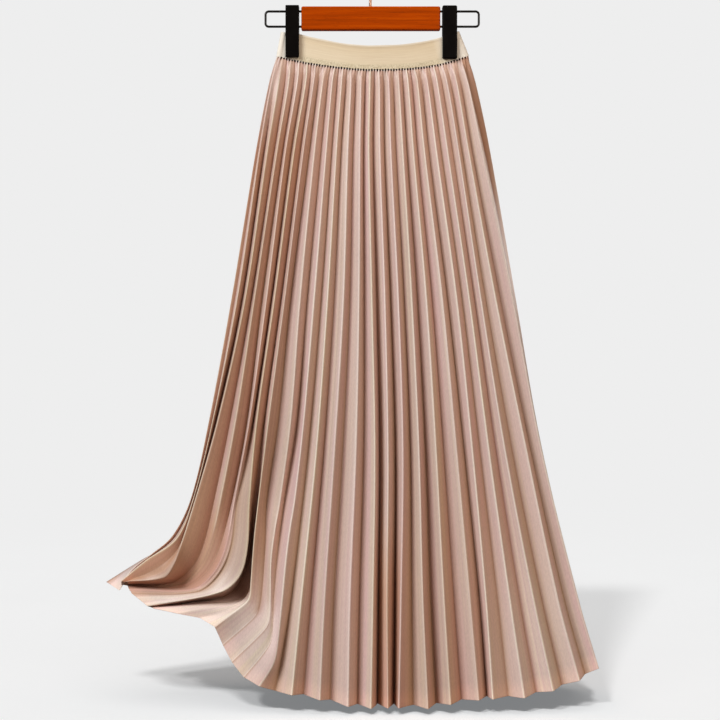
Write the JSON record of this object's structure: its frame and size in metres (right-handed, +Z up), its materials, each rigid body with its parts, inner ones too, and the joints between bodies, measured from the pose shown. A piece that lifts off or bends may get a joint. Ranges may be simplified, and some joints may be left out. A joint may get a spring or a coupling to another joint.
{
  "type": "pleated maxi skirt on a clip hanger",
  "caption": "Long sunray-pleated satin skirt on a wide elastic waistband, hanging by clips from a wooden hanger, its left hem swept out to the side.",
  "frame": {"origin": "inside top of the hanger's hook, where a rail carries it", "axes": "+Z up, the front of the skirt faces -Y, +X to the right as seen from the front"},
  "size_m": [0.6892, 0.2646, 1.0424],
  "materials": {
    "satin_front": "satin",
    "satin_back": "satin",
    "elastic": "satin",
    "wood": "gloss",
    "copper": "polished",
    "plastic_left": "satin",
    "plastic_right": "satin",
    "wire_left": "gloss",
    "wire_right": "gloss"
  },
  "bodies": {
    "root": {"skirt_front": "satin_front", "skirt_back": "satin_back", "waistband": "elastic", "hanger_bar": "wood", "hook": "copper", "clip_left": "plastic_left", "clip_right": "plastic_right", "wire_left": "wire_left", "wire_right": "wire_right"}
  },
  "joints": []
}
